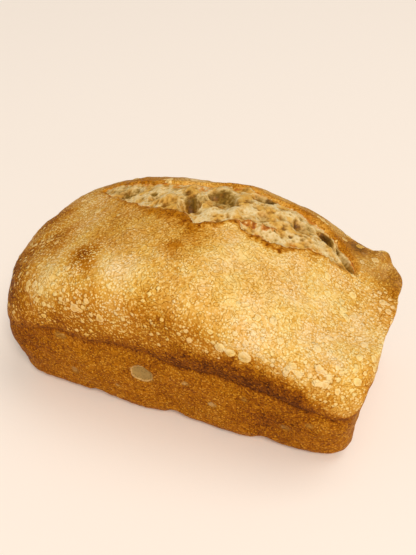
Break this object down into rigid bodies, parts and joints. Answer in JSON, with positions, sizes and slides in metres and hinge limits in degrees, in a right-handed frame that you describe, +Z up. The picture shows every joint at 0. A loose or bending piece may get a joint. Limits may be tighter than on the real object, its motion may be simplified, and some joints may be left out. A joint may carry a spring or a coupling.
{
  "type": "bread loaf",
  "caption": "Tin-baked sourdough loaf with straight tapered sides, a fold at the tin's rim, and a high blistered dome torn open along its back to show the crumb",
  "frame": {"origin": "middle of the loaf's footprint, on the surface it stands on", "axes": "+X along the loaf towards its lower end, -Y the long side in front, +Z up"},
  "size_m": [0.2333, 0.1348, 0.1136],
  "materials": {
    "baked_crust": "golden-brown baked crust, finely blistered and dull, browner at the fold and the ends, with pale grey-cream crumb in the tear"
  },
  "bodies": {
    "root": {"loaf": "baked_crust"}
  },
  "joints": []
}
